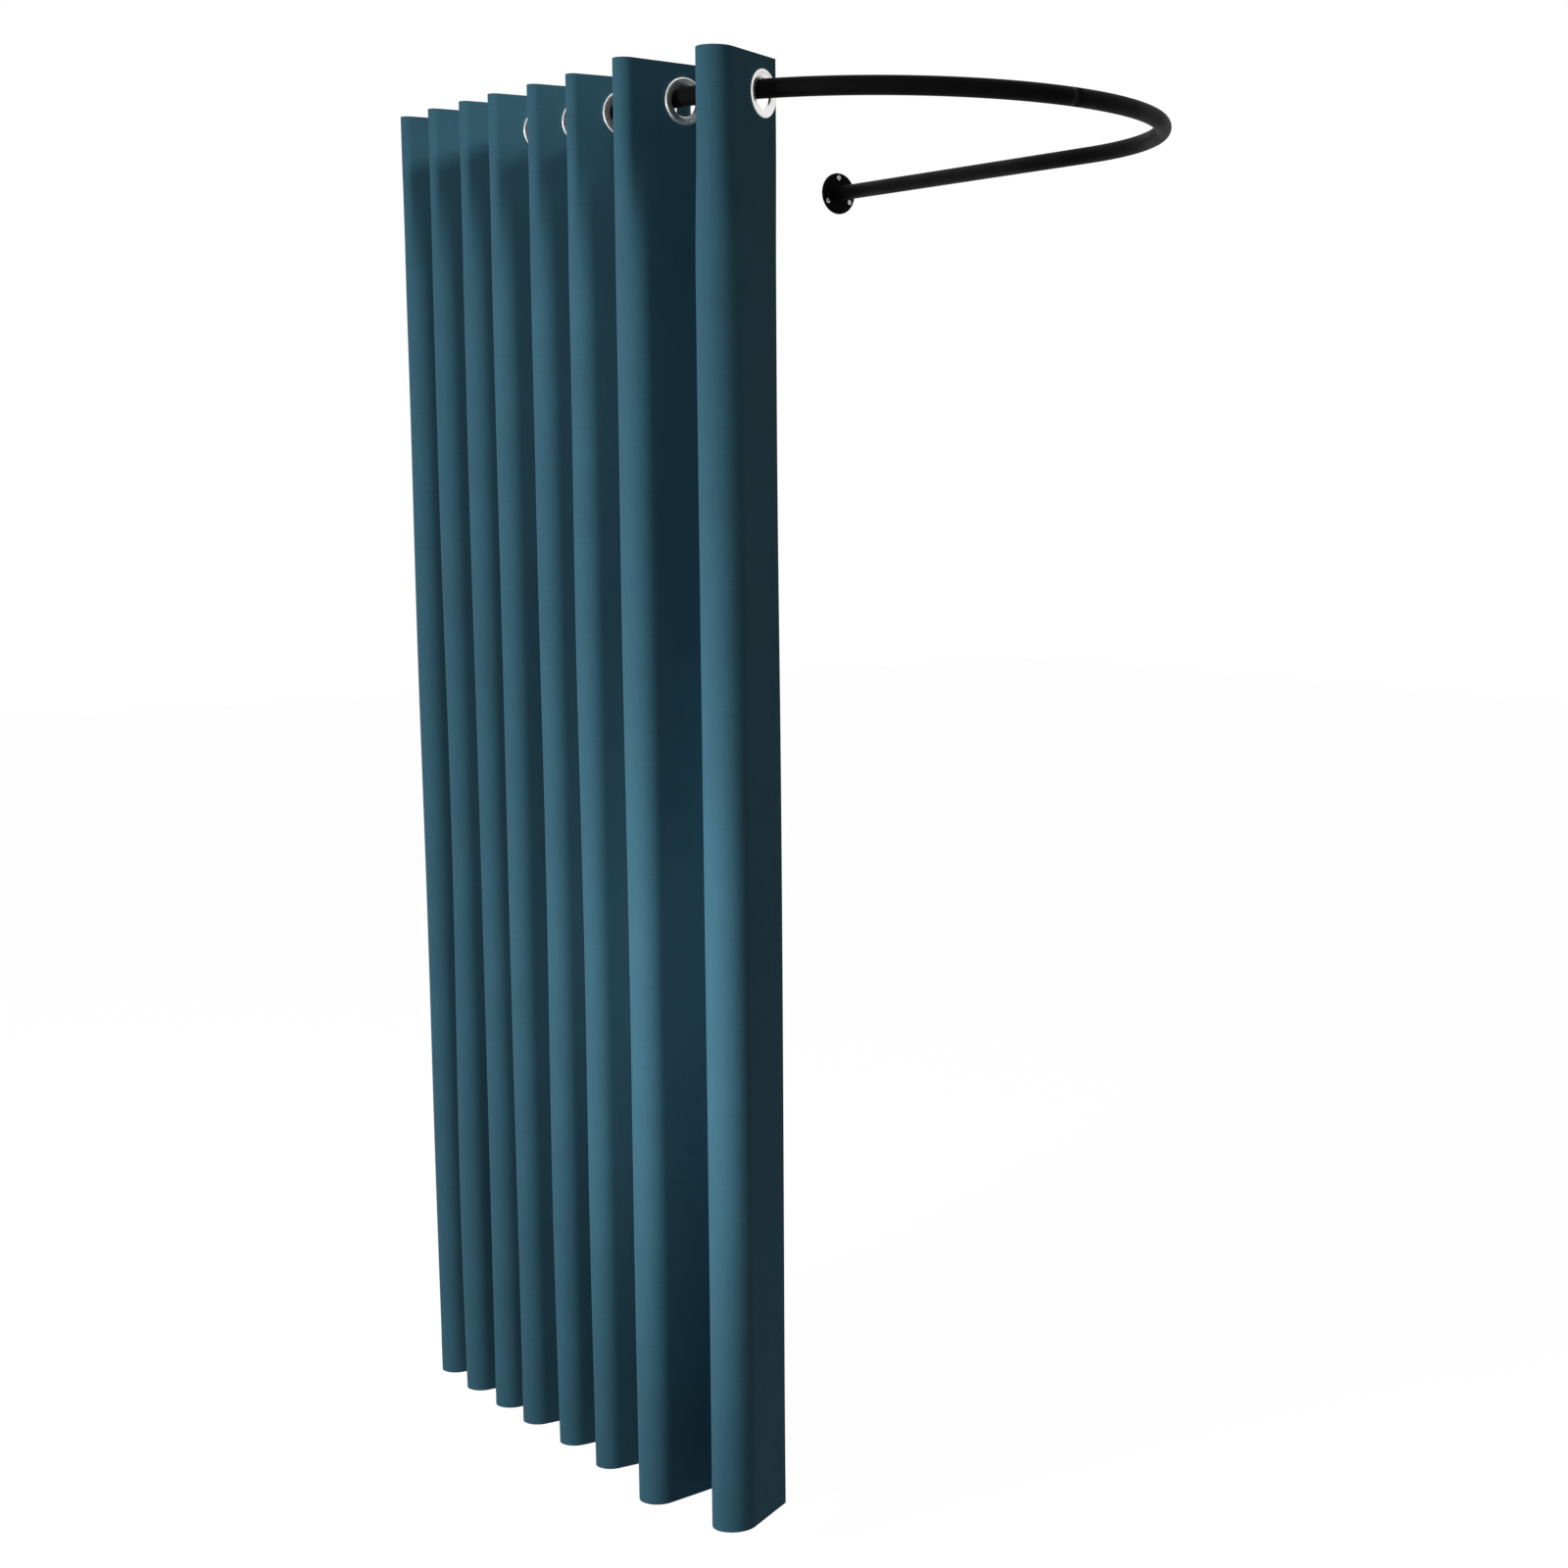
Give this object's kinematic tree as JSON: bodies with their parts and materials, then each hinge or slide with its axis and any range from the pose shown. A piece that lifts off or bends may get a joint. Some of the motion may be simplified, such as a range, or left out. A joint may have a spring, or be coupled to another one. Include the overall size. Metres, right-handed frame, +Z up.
{
  "type": "portable fitting room",
  "caption": "Wall-hung fitting room: a U-shaped black tube rail on two round wall flanges, with an eyelet curtain gathered in folds along one arm.",
  "frame": {"origin": "centre of the left wall flange's back face, on the rail's axis", "axes": "+Y into the wall, square to both flange faces; +X along the wall from the left flange to the right one; +Z up"},
  "size_m": [0.9256, 1.0625, 2],
  "materials": {
    "curtain_cloth": "matte woven polyester, petrol blue",
    "eyelet_nickel": "bright nickel plate",
    "black_coat": "satin black powder coat",
    "zinc_steel": "zinc-plated steel"
  },
  "bodies": {
    "rail": {"rail_left_half": "black_coat", "rail_right_half": "black_coat", "rail_joint_sleeve": "zinc_steel", "wall_flange_left": "black_coat", "wall_flange_right": "black_coat", "wall_screw_left_1": "zinc_steel", "wall_screw_left_2": "zinc_steel", "wall_screw_left_3": "zinc_steel", "wall_screw_right_1": "zinc_steel", "wall_screw_right_2": "zinc_steel", "wall_screw_right_3": "zinc_steel", "curtain_panel_12": "curtain_cloth", "eyelet_front_12": "eyelet_nickel", "eyelet_back_12": "eyelet_nickel"},
    "hanger_01": {"curtain_panel_01": "curtain_cloth", "eyelet_front_01": "eyelet_nickel", "eyelet_back_01": "eyelet_nickel"},
    "hanger_02": {"curtain_panel_02": "curtain_cloth", "eyelet_front_02": "eyelet_nickel", "eyelet_back_02": "eyelet_nickel"},
    "hanger_03": {"curtain_panel_03": "curtain_cloth", "eyelet_front_03": "eyelet_nickel", "eyelet_back_03": "eyelet_nickel"},
    "hanger_04": {"curtain_panel_04": "curtain_cloth", "eyelet_front_04": "eyelet_nickel", "eyelet_back_04": "eyelet_nickel"},
    "hanger_05": {"curtain_panel_05": "curtain_cloth", "eyelet_front_05": "eyelet_nickel", "eyelet_back_05": "eyelet_nickel"},
    "hanger_06": {"curtain_panel_06": "curtain_cloth", "eyelet_front_06": "eyelet_nickel", "eyelet_back_06": "eyelet_nickel"},
    "hanger_07": {"curtain_panel_07": "curtain_cloth", "eyelet_front_07": "eyelet_nickel", "eyelet_back_07": "eyelet_nickel"},
    "hanger_08": {"curtain_panel_08": "curtain_cloth", "eyelet_front_08": "eyelet_nickel", "eyelet_back_08": "eyelet_nickel"},
    "hanger_09": {"curtain_panel_09": "curtain_cloth", "eyelet_front_09": "eyelet_nickel", "eyelet_back_09": "eyelet_nickel"},
    "hanger_10": {"curtain_panel_10": "curtain_cloth", "eyelet_front_10": "eyelet_nickel", "eyelet_back_10": "eyelet_nickel"},
    "hanger_11": {"curtain_panel_11": "curtain_cloth", "eyelet_front_11": "eyelet_nickel", "eyelet_back_11": "eyelet_nickel"},
    "hanger_13": {"curtain_panel_13": "curtain_cloth", "eyelet_front_13": "eyelet_nickel", "eyelet_back_13": "eyelet_nickel"},
    "hanger_14": {"curtain_panel_14": "curtain_cloth", "eyelet_front_14": "eyelet_nickel", "eyelet_back_14": "eyelet_nickel"},
    "hanger_15": {"curtain_panel_15": "curtain_cloth", "eyelet_front_15": "eyelet_nickel", "eyelet_back_15": "eyelet_nickel"},
    "hanger_16": {"curtain_panel_16": "curtain_cloth", "eyelet_front_16": "eyelet_nickel", "eyelet_back_16": "eyelet_nickel"}
  },
  "joints": [
    {"name": "slide_11", "type": "slide", "parent": "rail", "child": "hanger_11", "axis": [0, 1, 0], "range_m": [0, 0.002]},
    {"name": "slide_10", "type": "slide", "parent": "hanger_11", "child": "hanger_10", "axis": [0, 1, 0], "range_m": [0, 0.002]},
    {"name": "slide_09", "type": "slide", "parent": "hanger_10", "child": "hanger_09", "axis": [0, 1, 0], "range_m": [0, 0.002]},
    {"name": "slide_08", "type": "slide", "parent": "hanger_09", "child": "hanger_08", "axis": [0, 1, 0], "range_m": [0, 0.002]},
    {"name": "slide_07", "type": "slide", "parent": "hanger_08", "child": "hanger_07", "axis": [0, 1, 0], "range_m": [0, 0.002]},
    {"name": "slide_06", "type": "slide", "parent": "hanger_07", "child": "hanger_06", "axis": [0, 1, 0], "range_m": [0, 0.002]},
    {"name": "slide_05", "type": "slide", "parent": "hanger_06", "child": "hanger_05", "axis": [0, 1, 0], "range_m": [0, 0.002]},
    {"name": "slide_04", "type": "slide", "parent": "hanger_05", "child": "hanger_04", "axis": [0, 1, 0], "range_m": [0, 0.002]},
    {"name": "slide_03", "type": "slide", "parent": "hanger_04", "child": "hanger_03", "axis": [0, 1, 0], "range_m": [0, 0.002]},
    {"name": "slide_02", "type": "slide", "parent": "hanger_03", "child": "hanger_02", "axis": [0, 1, 0], "range_m": [0, 0.002]},
    {"name": "slide_01", "type": "slide", "parent": "hanger_02", "child": "hanger_01", "axis": [0, 1, 0], "range_m": [0, 0.002]},
    {"name": "turn_13", "type": "hinge", "parent": "rail", "child": "hanger_13", "pos_m": [0.4, -0.65, 0], "axis": [0, 0, 1], "range_deg": [0, 5.5]},
    {"name": "turn_14", "type": "hinge", "parent": "hanger_13", "child": "hanger_14", "pos_m": [0.4, -0.65, 0], "axis": [0, 0, 1], "range_deg": [0, 5.5]},
    {"name": "turn_15", "type": "hinge", "parent": "hanger_14", "child": "hanger_15", "pos_m": [0.4, -0.65, 0], "axis": [0, 0, 1], "range_deg": [0, 5.5]},
    {"name": "turn_16", "type": "hinge", "parent": "hanger_15", "child": "hanger_16", "pos_m": [0.4, -0.65, 0], "axis": [0, 0, 1], "range_deg": [0, 5.5]}
  ],
  "couplings": [
    {"joint": "slide_10", "follows": "slide_11", "ratio": 1},
    {"joint": "slide_09", "follows": "slide_11", "ratio": 1},
    {"joint": "slide_08", "follows": "slide_11", "ratio": 1},
    {"joint": "slide_07", "follows": "slide_11", "ratio": 1},
    {"joint": "slide_06", "follows": "slide_11", "ratio": 1},
    {"joint": "slide_05", "follows": "slide_11", "ratio": 1},
    {"joint": "slide_04", "follows": "slide_11", "ratio": 1},
    {"joint": "slide_03", "follows": "slide_11", "ratio": 1},
    {"joint": "slide_02", "follows": "slide_11", "ratio": 1},
    {"joint": "slide_01", "follows": "slide_11", "ratio": 1},
    {"joint": "turn_14", "follows": "turn_13", "ratio": 1},
    {"joint": "turn_15", "follows": "turn_13", "ratio": 1},
    {"joint": "turn_16", "follows": "turn_13", "ratio": 1}
  ]
}
